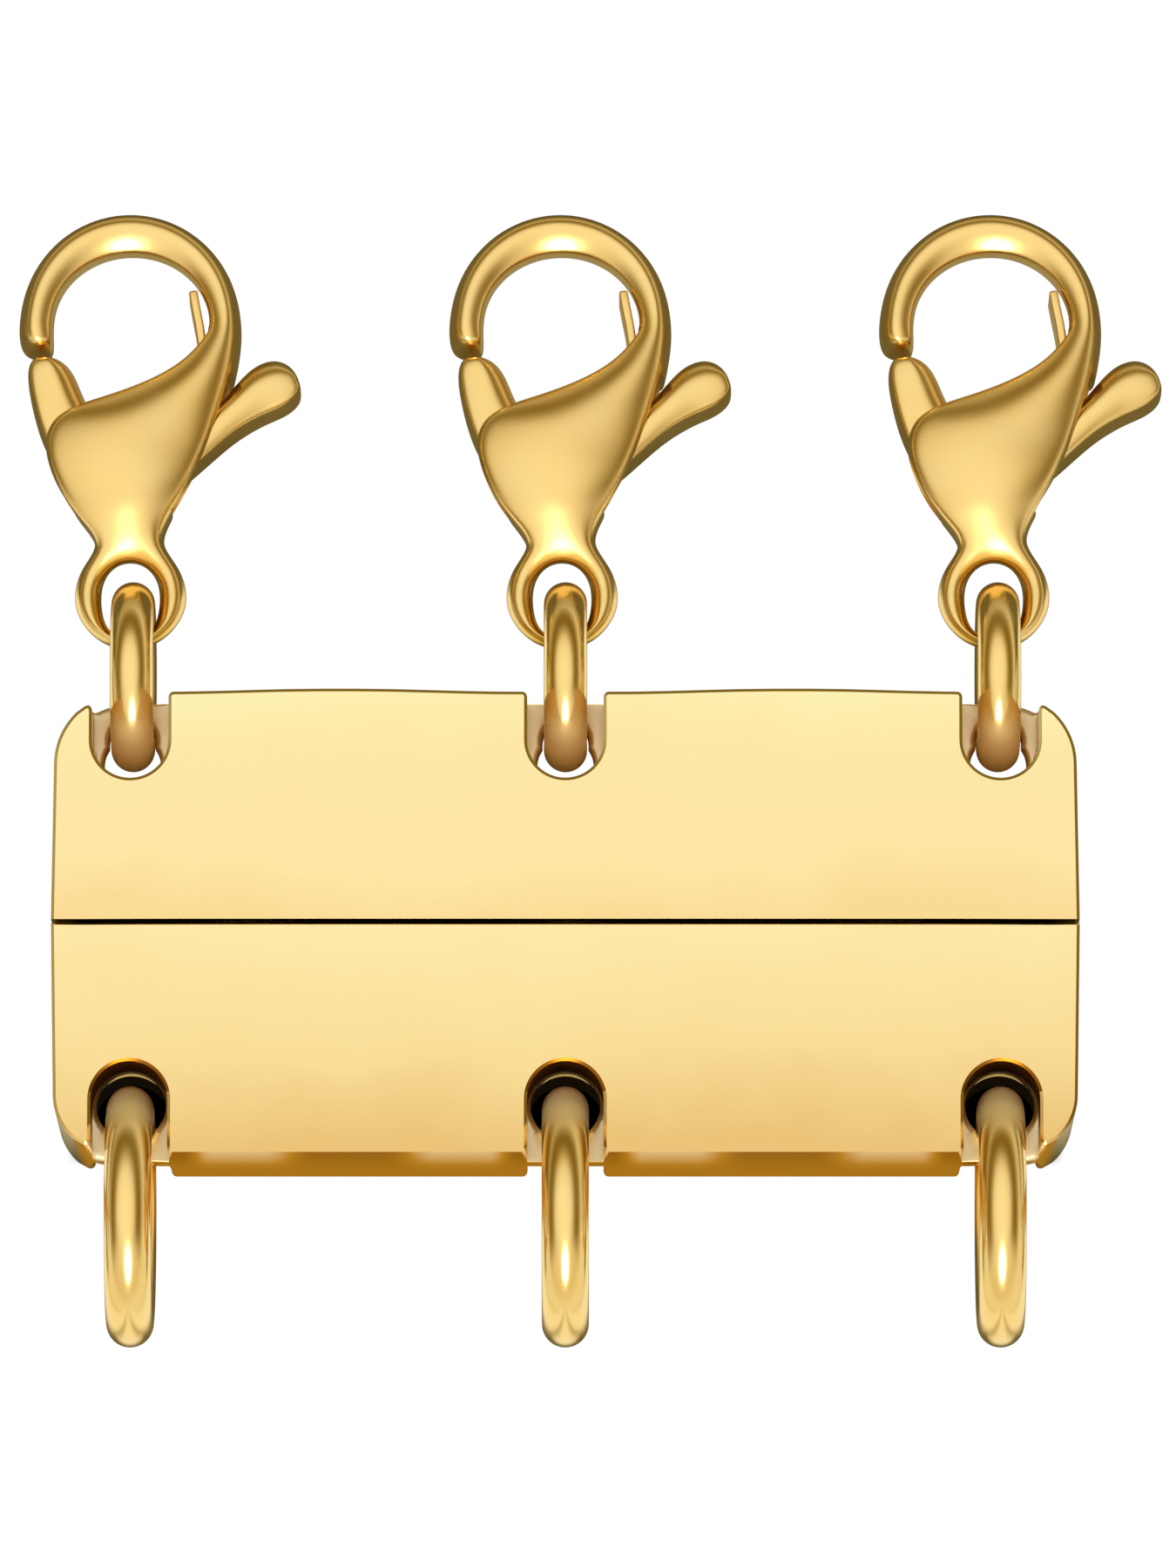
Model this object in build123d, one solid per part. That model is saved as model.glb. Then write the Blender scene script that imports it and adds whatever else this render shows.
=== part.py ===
from build123d import *
import os
from math import atan, cos, degrees, sin, sqrt

# Three-strand magnetic necklace clasp, lying on its back. Millimetres, +Z up.
# The origin is the middle of the seam between the bar's two halves, at mid-thickness.
# X runs along the bar, +Y to the lobster claws, and +Z is the front of the clasp.

# The bar and its two halves
strand_count = 3
strand_pitch = 10.0
end_margin = 1.8
half_height = 5.28
bar_thickness = 4.8
seam_gap = 0.1
end_bow = 0.08
upper_corner_radius = 1.65
lower_corner_radius = 1.3
edge_round = 0.08

# Notches for the jump rings, each with a thin web across it at mid-thickness
notch_width = 1.76
upper_notch_depth = 2.0
lower_notch_depth = 2.1
notch_mouth_round = 0.12
web_thickness = 0.8
web_strip = 0.35
web_round = 0.15
upper_hole_diameter = 1.3
lower_hole_diameter = 1.6

# Disc magnets, flush in the seam faces
magnet_pitch = 7.5
magnet_diameter = 3.0
magnet_depth = 1.8
magnet_clearance = 0.03

# Jump rings
small_ring_diameter = 4.4
small_ring_wire = 1.0
large_ring_diameter = 6.0
large_ring_wire = 1.08
link_play = 0.04
floor_play = 0.02

# Lobster claw, drawn flat with its eye at the origin and its hook towards +Y
eye_hole_radius = 0.65
eye_outer_radius = 1.28
eye_thickness = 1.0
neck_half_width = 0.7
neck_half_thickness = 0.72
body_half_width = 1.93
body_half_thickness = 1.5
body_height = 3.5
hook_outer_radius = 2.505
hook_inner_radius = 1.79
hook_centre_height = 6.36
hook_half_thickness = 0.95
hook_tip_height = 5.6

# Slot between the claw's cheeks, its lever, pin and leaf spring
lever_thickness = 1.5
slot_clearance = 0.06
slot_floor_clearance = 0.13
pivot_x = 0.1
pivot_y = 2.75
pivot_radius = 0.35
pivot_clearance = 0.03
pivot_seat_depth = 0.35
pivot_seat_clearance = 0.01
lever_boss_radius = 0.62
gate_gap = 0.07
tab_reach = 3.8
tab_height = 4.98
tab_end_radius = 0.56
lever_edge_round = 0.1
spring_thickness = 0.2
spring_width = 1.2
spring_rise = 0.74

bar_width = (strand_count - 1) * strand_pitch + 2 * end_margin
half_thickness = bar_thickness / 2
outer_edge = seam_gap / 2 + half_height
floor_height = floor_play - half_thickness
slot_half_thickness = lever_thickness / 2 + slot_clearance
strands = [(i - (strand_count - 1) / 2) * strand_pitch for i in range(strand_count)]
magnet_places = [(i - 1) * magnet_pitch for i in range(3)]


def bar_outline(corner_radius):
    """One half of the bar from the front, its seam on the low side, ends slightly bowed."""
    low = seam_gap / 2
    half_width = bar_width / 2
    tip = half_width - end_bow
    middle = low + half_height / 2
    with BuildSketch() as sketch:
        with BuildLine():
            Polyline((-tip, outer_edge), (tip, outer_edge))
            ThreePointArc((tip, outer_edge), (half_width - end_bow / 4, middle), (half_width, low))
            Polyline((half_width, low), (-half_width, low))
            ThreePointArc((-half_width, low), (-half_width + end_bow / 4, middle), (-tip, outer_edge))
        make_face()
        corners = sketch.vertices().sort_by(Axis.Y)[-2:]
        fillet(corners, corner_radius)
    return sketch.sketch


def notch_outline(depth):
    """A round-bottomed notch that runs out through the bar's outer edge."""
    radius = notch_width / 2
    bottom = outer_edge - depth
    round_part = Pos(0, bottom + radius) * Circle(radius)
    straight_length = 2 * depth
    straight_part = Pos(0, bottom + radius + straight_length / 2) * Rectangle(notch_width, straight_length)
    return round_part + straight_part


def bar_half(corner_radius, notch_depth, hole_diameter):
    """One half as it is milled: plate, notches from front and back, drilled webs, magnet seats."""
    outline = bar_outline(corner_radius)
    notched = outline
    for x in strands:
        notched -= Pos(x, 0) * notch_outline(notch_depth)
    mouths = [v for v in notched.vertices() if is_notch_mouth(v)]
    notched = fillet(mouths, notch_mouth_round)
    plate = extrude(notched, half_thickness, both=True)
    rims = plate.edges().group_by(Axis.Z)[0] + plate.edges().group_by(Axis.Z)[-1]
    plate = fillet(rims, edge_round)
    for x in strands:
        plate += notch_web(outline, x, notch_depth, hole_diameter)
    for x in magnet_places:
        plate -= magnet_seat(x)
    return plate


def is_notch_mouth(vertex):
    """True for the corners where a notch meets the bar's outer edge."""
    offsets = [abs(abs(vertex.X - x) - notch_width / 2) for x in strands]
    return min(offsets) < notch_mouth_round / 10 and vertex.Y > outer_edge - upper_corner_radius / 2


def notch_web(outline, x, notch_depth, hole_diameter):
    """The web across one notch, flush with the outer edge, its strip and hole rounded."""
    overlap = notch_width / 8
    reach = notch_depth + overlap
    band = Pos(x, outer_edge - reach / 2) * Rectangle(notch_width + 2 * overlap, reach)
    web = extrude(outline & band, web_thickness / 2, both=True)
    outer_rims = [e for e in web.edges().filter_by(GeomType.CIRCLE, reverse=True)
                  if e.center().Y > outer_edge - web_strip and is_level(e)]
    web = fillet(outer_rims, web_round)
    hole_y = outer_edge - web_strip - hole_diameter / 2
    web -= Pos(x, hole_y) * Cylinder(hole_diameter / 2, 2 * web_thickness)
    hole_rims = [e for e in web.edges().filter_by(GeomType.CIRCLE)
                 if abs(e.radius - hole_diameter / 2) < web_round / 10]
    return fillet(hole_rims, web_round)


def is_level(edge):
    """True for an edge that keeps one height."""
    box = edge.bounding_box()
    return box.size.Z < web_thickness / 10


def magnet_seat(x):
    """The blind seat of one magnet in the seam face."""
    depth = magnet_depth + 2 * magnet_clearance
    seat = Rot(X=-90) * Cylinder(magnet_diameter / 2 + magnet_clearance, depth)
    return Pos(x, seam_gap / 2 + depth / 2) * seat


def disc_magnet(x):
    """One disc magnet, its face flush with the seam face."""
    disc = Rot(X=-90) * Cylinder(magnet_diameter / 2, magnet_depth)
    return Pos(x, seam_gap / 2 + magnet_clearance + magnet_depth / 2) * disc


def turned_over(shape):
    """The same shape on the other side of the seam."""
    return mirror(shape, Plane.XZ)


def ring_reach(inner_radius, corner_round, corner_offset):
    """How far a taut ring's centre lies from the edge that it hangs on, with rounded corners."""
    free_radius = inner_radius - corner_round - link_play
    return corner_round + sqrt(free_radius ** 2 - corner_offset ** 2)


def jump_ring(diameter, wire, x, y):
    """A closed jump ring, standing on edge across the bar."""
    ring = Rot(Y=90) * Torus((diameter - wire) / 2, wire / 2)
    return Pos(x, y, floor_height + diameter / 2) * ring


def ring_place(diameter, wire):
    """Distance from the seam to the centre of a ring that hangs on a web."""
    corner_offset = abs(floor_height + diameter / 2) + web_thickness / 2 - web_round
    reach = ring_reach(diameter / 2 - wire, web_round, corner_offset)
    return outer_edge - web_strip + reach


def spread(shares, width, low, high):
    """Points from a table of shares: sideways of a width, upward from one height to another."""
    return [(across * width, low + up * (high - low)) for across, up in shares]


def claw_outline():
    """The claw's hook, cheeks and neck from the front, without its eye."""
    top = (0, hook_centre_height + hook_outer_radius)
    limb = (0.98 * hook_outer_radius, hook_centre_height - 0.18 * hook_outer_radius)
    tip_outer = (-0.975 * hook_outer_radius, hook_tip_height + 0.06 * hook_outer_radius)
    tip_round = (-0.955 * hook_outer_radius, hook_tip_height + 0.016 * hook_outer_radius)
    tip_end = (-0.9 * hook_outer_radius, hook_tip_height)
    tip_slope = (-0.8 * hook_outer_radius, hook_tip_height + 0.04 * hook_outer_radius)
    tip_inner = (-hook_inner_radius, hook_tip_height + 0.22 * hook_outer_radius)
    inner_top = (0, hook_centre_height + 0.96 * hook_inner_radius)
    inner_limb = (0.99 * hook_inner_radius, hook_centre_height + 0.056 * hook_inner_radius)
    neck_base = 0.74 * eye_outer_radius
    neck_right = (0.96 * neck_half_width, neck_base)
    neck_left = (-1.09 * neck_half_width, neck_base)
    throat_right = spread([(0.91, 0.455)], hook_outer_radius, body_height, hook_centre_height)
    cheek_right = spread([(0.88, 0.957), (0.57, 0.6)], body_half_width, 0, body_height)
    waist_right = spread([(1.07, 0.386)], neck_half_width, 0, body_height)
    waist_left = spread([(-1.29, 0.406)], neck_half_width, 0, body_height)
    cheek_left = spread([(-0.77, 0.643), (-0.96, 0.843), (-1, 1.043)], body_half_width, 0, body_height)
    cheek_top = spread([(-0.94, 0.196), (-0.67, 0.315)], body_half_width, body_height, hook_centre_height)
    throat = spread([(-0.28, 0.406), (0.223, 0.525), (0.626, 0.678), (0.872, 0.874)],
                    hook_inner_radius, body_height, hook_centre_height)
    with BuildSketch() as sketch:
        with BuildLine():
            ThreePointArc(tip_outer, top, limb)
            Spline(limb, *throat_right, *cheek_right, *waist_right, neck_right)
            Line(neck_right, neck_left)
            Spline(neck_left, *waist_left, *cheek_left)
            ThreePointArc(cheek_left[-1], *cheek_top)
            Spline(cheek_top[-1], *throat, inner_limb)
            ThreePointArc(inner_limb, inner_top, tip_inner)
            ThreePointArc(tip_inner, tip_slope, tip_end)
            ThreePointArc(tip_end, tip_round, tip_outer)
        make_face()
    return sketch.sketch


def claw_profile():
    """The claw from the side, as height along the claw and half thickness."""
    throat = hook_centre_height - body_height
    side = [(0, eye_thickness / 2), (0.343 * body_height, neck_half_thickness),
            (0.63 * body_height, 0.84 * body_half_thickness), (body_height, body_half_thickness),
            (body_height + 0.385 * throat, 0.93 * body_half_thickness),
            (body_height + 0.77 * throat, 0.79 * body_half_thickness),
            (hook_centre_height + 0.3 * hook_outer_radius, 1.03 * hook_half_thickness),
            (hook_centre_height + 1.04 * hook_outer_radius, hook_half_thickness)]
    start = side[0]
    end = side[-1]
    with BuildSketch(Plane.YZ) as sketch:
        with BuildLine():
            Spline(*side)
            Line(end, (end[0], -end[1]))
            Spline(*[(height, -half) for height, half in reversed(side)])
            Line((start[0], -start[1]), start)
        make_face()
    return sketch.sketch


def slot_outline():
    """The slot between the cheeks, open at the gate, along the top edge and at the tab."""
    side = 2 * body_half_width
    floor = pivot_y - lever_boss_radius - slot_floor_clearance
    exit_top = tab_height + 0.3 * tab_end_radius
    roof = spread([(-0.67, 0.63), (0.28, 0.874), (0.894, 0.997), (1.006, 0.944)],
                  hook_inner_radius, body_height, hook_centre_height)
    exit_corner = [(1.034 * hook_inner_radius, exit_top + 0.18 * tab_end_radius),
                   (1.173 * hook_inner_radius, exit_top)]
    return make_face(Polyline((-side, floor), (-side, roof[0][1]), *roof, *exit_corner,
                              (side, exit_top), (side, floor), close=True))


def eye_ring():
    """The eye's round wall, its inner and outer rims fully rounded."""
    eye_middle = (eye_outer_radius + eye_hole_radius) / 2
    wall = eye_outer_radius - eye_hole_radius
    section = Plane.XZ * Pos(eye_middle, 0) * SlotOverall(eye_thickness, wall, rotation=90)
    return revolve(section, Axis.Z)


def claw_body():
    """Cheeks, hook and neck as one casting with its round eye, slotted for the lever."""
    deep = 2 * body_half_thickness
    front = extrude(claw_outline(), deep, both=True)
    side = extrude(claw_profile(), 2 * hook_outer_radius, both=True)
    casting = (front & side) + eye_ring()
    casting -= extrude(slot_outline(), slot_half_thickness, both=True)
    seat_length = 2 * (slot_half_thickness + pivot_seat_depth)
    casting -= Pos(pivot_x, pivot_y) * Cylinder(pivot_radius + pivot_seat_clearance, seat_length)
    return casting


def lever_outline():
    """Gate arm, hub and thumb tab of the lever."""
    gate_top = hook_tip_height - gate_gap
    gate = spread([(-0.918, 0.928), (-0.942, 0.817), (-0.886, 0.576), (-0.758, 0.241)],
                  hook_outer_radius, pivot_y, gate_top)
    hub = [(pivot_x + across * lever_boss_radius, pivot_y + up * lever_boss_radius)
           for across, up in [(-2.1, -0.21), (0, -1), (1.45, -0.11), (2.58, 0.89)]]
    tab_low = spread([(0.605, 0.493), (0.789, 0.673)], tab_reach, pivot_y, tab_height)
    tab_x = tab_reach - tab_end_radius
    tab_end = [(tab_x + across * tab_end_radius, tab_height + up * tab_end_radius)
               for across, up in [(0.54, -0.9), (1, 0), (0, 1.09)]]
    tab_top = [(across * tab_reach, tab_height + up * tab_end_radius)
               for across, up in [(0.737, 0.875), (0.658, 0.393), (0.61, 0)]]
    saddle = spread([(0.5, 0.785), (0.316, 0.516), (0.105, 0.404)], tab_reach, pivot_y, tab_height)
    inside = spread([(-0.16, 0.396), (-0.419, 0.648), (-0.511, 0.827), (-0.599, 0.957)],
                    hook_outer_radius, pivot_y, gate_top)
    gate_end = spread([(-0.758, 1)], hook_outer_radius, pivot_y, gate_top)
    with BuildSketch() as sketch:
        with BuildLine():
            Spline(*gate)
            Spline(gate[-1], *hub)
            Spline(hub[-1], *tab_low, tab_end[0])
            ThreePointArc(*tab_end)
            Spline(tab_end[-1], *tab_top, *saddle, *inside[:2])
            Spline(*inside[1:])
            ThreePointArc(inside[-1], *gate_end, gate[0])
        make_face()
    return sketch.sketch


def lever_blank():
    """The lever with the running bore for its pin."""
    blank = extrude(lever_outline(), lever_thickness / 2, both=True)
    rims = blank.edges().group_by(Axis.Z)[0] + blank.edges().group_by(Axis.Z)[-1]
    blank = fillet(rims, lever_edge_round)
    return blank - Pos(pivot_x, pivot_y) * Cylinder(pivot_radius + pivot_clearance, 2 * lever_thickness)


def pivot_pin():
    """The plain pin, its two ends seated in the cheeks."""
    length = 2 * (slot_half_thickness + pivot_seat_depth - pivot_seat_clearance)
    return Pos(pivot_x, pivot_y) * Cylinder(pivot_radius, length)


def leaf_spring():
    """The flat spring, from its free end inside the hook down to the lever's top edge."""
    low = pivot_y + 0.785 * (tab_height - pivot_y)
    high = hook_centre_height + spring_rise
    centre_line = Spline(*spread([(0.775, 1), (0.884, 0.577), (0.92, 0.308), (0.838, 0)],
                                 hook_inner_radius, low, high))
    strip = trace(centre_line, spring_thickness)
    return extrude(strip, spring_width / 2, both=True)


def place_claws(body):
    """Where each claw lies: eye on its ring, resting on its belly and its hook's end."""
    hook_reach = hook_centre_height + hook_outer_radius - body_height
    tilt = atan((body_half_thickness - hook_half_thickness) / hook_reach)
    lowest = (Rot(X=-degrees(tilt)) * body).bounding_box().min.Z
    eye_height = floor_height - lowest
    ring_height = floor_height + small_ring_diameter / 2
    free_radius = small_ring_diameter / 2 - small_ring_wire - link_play
    wall = eye_outer_radius - eye_hole_radius
    wall_middle = eye_hole_radius + wall / 2
    wall_height = eye_height + wall_middle * sin(tilt)
    drop = abs(ring_height - wall_height) + (eye_thickness - wall) / 2
    reach = sqrt((free_radius - wall / 2) ** 2 - drop ** 2) + wall_middle * cos(tilt)
    eye_y = ring_place(small_ring_diameter, small_ring_wire) + reach
    return [Pos(x, eye_y, eye_height) * Rot(X=-degrees(tilt)) for x in strands]


def build_parts():
    """Every piece of the clasp by name, each in its place."""
    parts = {}
    parts["upper_bar"] = bar_half(upper_corner_radius, upper_notch_depth, upper_hole_diameter)
    parts["lower_bar"] = turned_over(bar_half(lower_corner_radius, lower_notch_depth, lower_hole_diameter))
    for number, x in enumerate(magnet_places, start=1):
        parts[f"upper_magnet_{number}"] = disc_magnet(x)
        parts[f"lower_magnet_{number}"] = turned_over(disc_magnet(x))
    small_ring_y = ring_place(small_ring_diameter, small_ring_wire)
    large_ring_y = -ring_place(large_ring_diameter, large_ring_wire)
    for number, x in enumerate(strands, start=1):
        parts[f"small_ring_{number}"] = jump_ring(small_ring_diameter, small_ring_wire, x, small_ring_y)
        parts[f"large_ring_{number}"] = jump_ring(large_ring_diameter, large_ring_wire, x, large_ring_y)
    claw = claw_body()
    pieces = {"claw": claw, "lever": lever_blank(), "pivot": pivot_pin(), "spring": leaf_spring()}
    for number, place in enumerate(place_claws(claw), start=1):
        for name, piece in pieces.items():
            parts[f"{name}_{number}"] = place * piece
    return parts


os.makedirs("parts", exist_ok=True)
for name, part in build_parts().items():
    export_step(part, f"parts/{name}.step")
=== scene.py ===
from math import atan2, cos, hypot, pi, radians, sin

import bmesh
import bpy
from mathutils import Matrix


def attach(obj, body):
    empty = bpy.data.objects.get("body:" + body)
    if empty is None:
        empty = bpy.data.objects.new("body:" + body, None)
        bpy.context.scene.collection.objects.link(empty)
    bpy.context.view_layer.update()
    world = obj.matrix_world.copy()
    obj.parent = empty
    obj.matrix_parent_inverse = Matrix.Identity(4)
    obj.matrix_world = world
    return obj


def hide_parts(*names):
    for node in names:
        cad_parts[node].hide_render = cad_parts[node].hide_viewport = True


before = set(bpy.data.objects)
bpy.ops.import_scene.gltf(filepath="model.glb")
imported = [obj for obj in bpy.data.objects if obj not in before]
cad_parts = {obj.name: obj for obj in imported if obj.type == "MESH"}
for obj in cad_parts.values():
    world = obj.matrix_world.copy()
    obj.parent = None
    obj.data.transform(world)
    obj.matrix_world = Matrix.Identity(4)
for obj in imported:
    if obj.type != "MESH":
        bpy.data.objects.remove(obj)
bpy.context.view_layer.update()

# The studio is a plain white table under a soft cream surround, brightest straight above, with one
# small softbox low in front. A warm dim arc at the sides and behind gives the polished gold its
# olive bands. The camera looks down from 8 degrees in front of upright, as the photograph does.

# Lengths are written in millimetres and brought to the frame's metres
MM = 0.001
# The lens is as long as the camera is far, so the picture is as high as the sensor's long side
camera_distance = 380
picture_height = 36
camera_lean = radians(8.33)
aim = (0.52, 3.17, 2.4)
bpy.ops.object.select_all(action="DESELECT")
bpy.ops.object.camera_add(
    location=(aim[0] * MM, (aim[1] - camera_distance * sin(camera_lean)) * MM,
              (aim[2] + camera_distance * cos(camera_lean)) * MM),
    rotation=(camera_lean, 0, 0))
camera = bpy.context.object
camera.data.sensor_width = picture_height
camera.data.lens = camera_distance
camera.data.clip_start = 0.01
camera.data.clip_end = 10
bpy.context.scene.camera = camera
bpy.context.scene.view_settings.view_transform = "Standard"


def linear(hex_colour):
    """The linear colour of an sRGB hex value."""
    parts = [int(hex_colour[i:i + 2], 16) / 255 for i in (1, 3, 5)]
    return [c / 12.92 if c <= 0.04045 else ((c + 0.055) / 1.055) ** 2.4 for c in parts] + [1]


def add_node(tree, kind, settings=None, inputs=None, links=None, stops=()):
    """Adds a node, with its settings, its sockets' values and links from other nodes' outputs.
    A colour ramp also has stops, each a place from 0 to 1 and a colour."""
    node = tree.nodes.new(kind)
    for name, value in (settings or {}).items():
        setattr(node, name, value)
    for name, value in (inputs or {}).items():
        node.inputs[name].default_value = value
    for name, output in (links or {}).items():
        tree.links.new(output, node.inputs[name])
    if stops:
        elements = node.color_ramp.elements
        while len(elements) < len(stops):
            elements.new(0.5)
        for element, (spot, colour) in zip(elements, stops):
            element.position = spot
        for element, (spot, colour) in zip(elements, stops):
            element.color = linear(colour)
    return node


# The surround leans a little to one side. Its stops are angles from its brightest point, each turned
# into a cosine for the ramp. The front has stops of its own, bright right down to the table.
sky_lean = radians(8)
front_begins, front_alone = -0.2, -0.65
arc_stops = [(180, "#E4DCD0"), (100, "#EDE7DF"), (92, "#E4DCD0"), (84, "#BCAE90"), (78, "#998C61"),
             (72, "#806B2E"), (62, "#7E682C"), (56, "#958959"), (48, "#C0B396"), (42, "#E5DED3"),
             (34, "#F3F0EF"), (25, "#FBFAF9"), (0, "#FFFFFF")]
front_stops = [(180, "#FFFFFF"), (110, "#FFFFFF"), (95, "#EFE8DC"), (80, "#DED5C4"), (60, "#E8E1D6"),
               (40, "#F1EDE7"), (25, "#FAF8F6"), (0, "#FFFFFF")]
sky = bpy.data.worlds.new("soft studio surround")
bpy.context.scene.world = sky
sky.use_nodes = True
sky.node_tree.nodes.clear()
direction = add_node(sky.node_tree, "ShaderNodeTexCoord")
leaned = add_node(sky.node_tree, "ShaderNodeVectorRotate", {"rotation_type": "Y_AXIS"},
                  {"Angle": sky_lean}, {"Vector": direction.outputs["Generated"]})
split = add_node(sky.node_tree, "ShaderNodeSeparateXYZ", links={"Vector": leaned.outputs["Vector"]})
height = add_node(sky.node_tree, "ShaderNodeMapRange", None, {"From Min": -1, "From Max": 1},
                  {"Value": split.outputs["Z"]})
skies = []
for stops in (arc_stops, front_stops):
    bands = add_node(sky.node_tree, "ShaderNodeValToRGB", links={"Fac": height.outputs["Result"]},
                     stops=[((cos(radians(angle)) + 1) / 2, colour) for angle, colour in stops])
    skies.append(add_node(sky.node_tree, "ShaderNodeBackground", links={"Color": bands.outputs["Color"]}))
frontal = add_node(sky.node_tree, "ShaderNodeMapRange", {"interpolation_type": "SMOOTHSTEP"},
                   {"From Min": front_begins, "From Max": front_alone}, {"Value": split.outputs["Y"]})
surround = add_node(sky.node_tree, "ShaderNodeMixShader", links={"Fac": frontal.outputs["Result"]})
for socket, part in enumerate(skies, start=1):
    sky.node_tree.links.new(part.outputs["Background"], surround.inputs[socket])
add_node(sky.node_tree, "ShaderNodeOutputWorld", links={"Surface": surround.outputs["Shader"]})

# The front softbox, 39 degrees above the table
box_distance = 150
box_angle = radians(51)
box_size = (70, 84)
box_watts = 0.1
bpy.ops.object.light_add(
    type="AREA", location=(0, -box_distance * sin(box_angle) * MM, box_distance * cos(box_angle) * MM),
    rotation=(box_angle, 0, 0))
front_box = bpy.context.object
front_box.data.shape = "ELLIPSE"
front_box.data.size = box_size[0] * MM
front_box.data.size_y = box_size[1] * MM
front_box.data.energy = box_watts
front_box.data.color = linear("#FFFBF2")[:3]

# The table is a light table, its top of white acrylic. The camera sees it evenly white, apart from
# a painted shadow under the bar. In the gold it shows a painted reflection: bright in front, dimmer
# behind the hooks, and with painted shade close to each strand.
table_size = 3000
table_height = -2.4
bpy.ops.mesh.primitive_plane_add(size=table_size * MM, location=(0, 0, table_height * MM))
table = bpy.context.object
table.name = "table"
acrylic = bpy.data.materials.new("white acrylic light table")
acrylic.use_nodes = True
tree = acrylic.node_tree
tree.nodes.clear()
place = add_node(tree, "ShaderNodeTexCoord")
axes = add_node(tree, "ShaderNodeSeparateXYZ", links={"Vector": place.outputs["Object"]})
along = axes.outputs["Y"]
across = add_node(tree, "ShaderNodeMath", {"operation": "ABSOLUTE"}, None, {0: axes.outputs["X"]}).outputs[0]
off_seam = add_node(tree, "ShaderNodeMath", {"operation": "ABSOLUTE"}, None, {0: along}).outputs[0]
half_pitch = 5
off_strand = add_node(tree, "ShaderNodeMath", {"operation": "PINGPONG"}, {1: half_pitch * MM},
                      {0: across}).outputs[0]

# Painted shadow: the table is drawn dark under the bar, wherever ambient occlusion finds the bar over it
shelter_reach = 6
sheltered, dark = 0.6, 0.45
shelter = add_node(tree, "ShaderNodeAmbientOcclusion", {"samples": 8}, {"Distance": shelter_reach * MM})
painted_shadow = add_node(tree, "ShaderNodeMapRange", {"interpolation_type": "SMOOTHSTEP"},
                   {"From Min": sheltered, "From Max": dark}, {"Value": shelter.outputs["AO"]})
levels = {"painted_shadow": painted_shadow.outputs["Result"]}

# Each smooth change of painted light and shade on the table: what it follows, the millimetres where it
# starts and ends, and its values there
fades = [("bar from its front", along, -5.1, -4.8, 0, 1),
         ("bar to its back", along, 3.6, 3.3, 0, 1),
         ("bar to its ends", across, 11.6, 11.2, 0, 1),
         ("beside the strand", off_strand, 1.0, 3.0, 0.18, 1),
         ("round the claws", along, 8.4, 9.6, 0, 0.72),
         ("hook to its sides", off_strand, 1.9, 1.5, 0, 0.5),
         ("hook from its front", along, 12.5, 13.2, 0, 1),
         ("hook to its back", along, 15.8, 16.8, 1, 0),
         ("far behind", along, 18.5, 26, 0, 0.6),
         ("before the rings", along, -9.8, -11.2, 0, 1),
         ("near the ring", off_strand, 2.6, 0.6, 0.5, 1),
         ("off the bar's ends", across, 13.8, 12.4, 0, 0.7),
         ("beside the seam", off_seam, 3.8, 3.2, 0, 1),
         ("before the bar", along, -7.0, -6.1, 0, 1),
         ("up to the bar", along, -5.0, -5.3, 0, 1),
         ("patch from the ring", off_strand, 1.1, 1.8, -0.13, 0.36),
         ("patch to its end", off_strand, 4.2, 3.0, -0.3, 1),
         ("patch off the bar", along, -5.45, -6.0, 0, 1)]
for name, followed, start, end, low, high in fades:
    change = add_node(tree, "ShaderNodeMapRange", {"interpolation_type": "SMOOTHSTEP"},
                      {"From Min": start * MM, "From Max": end * MM, "To Min": low, "To Max": high},
                      {"Value": followed})
    levels[name] = change.outputs["Result"]

# They are put together in this order. The painted reflection that the gold shows is dim beside the
# strands and round the claws, brighter inside the hooks, far behind them and before the large rings,
# and dim off the bar's ends. Just in front of the bar it is warm, with a painted pale patch on either
# side of each strand.
least_glow, front_glow = 0.24, 0.5
steps = [("under the bar", "bar from its front", "MULTIPLY", "bar to its back"),
         ("under the bar", "under the bar", "MULTIPLY", "bar to its ends"),
         ("under the bar", "under the bar", "MULTIPLY", "painted_shadow"),
         ("open table", 1, "SUBTRACT", "under the bar"),
         ("clear of the claws", 1, "SUBTRACT", "round the claws"),
         ("shown", "beside the strand", "MULTIPLY", "clear of the claws"),
         ("shown", "shown", "MAXIMUM", least_glow),
         ("in the hook", "hook to its sides", "MULTIPLY", "hook from its front"),
         ("in the hook", "in the hook", "MULTIPLY", "hook to its back"),
         ("shown", "shown", "MAXIMUM", "in the hook"),
         ("shown", "shown", "MAXIMUM", "far behind"),
         ("round the rings", "before the rings", "MULTIPLY", "near the ring"),
         ("shown", "shown", "MAXIMUM", "round the rings"),
         ("shown", "shown", "MULTIPLY", "open table"),
         ("at the ends", "off the bar's ends", "MULTIPLY", "beside the seam"),
         ("clear of the ends", 1, "SUBTRACT", "at the ends"),
         ("shown", "shown", "MULTIPLY", "clear of the ends"),
         ("in front", "before the bar", "MULTIPLY", "up to the bar"),
         ("patch", "patch from the ring", "MULTIPLY", "patch to its end"),
         ("patch", "patch", "MULTIPLY", "patch off the bar"),
         ("front shown", front_glow, "ADD", "patch")]
for result, first, operation, second in steps:
    step = add_node(tree, "ShaderNodeMath", {"operation": operation})
    for socket, part in enumerate((first, second)):
        if part in levels:
            tree.links.new(levels[part], step.inputs[socket])
        else:
            step.inputs[socket].default_value = part
    levels[result] = step.outputs["Value"]
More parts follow.
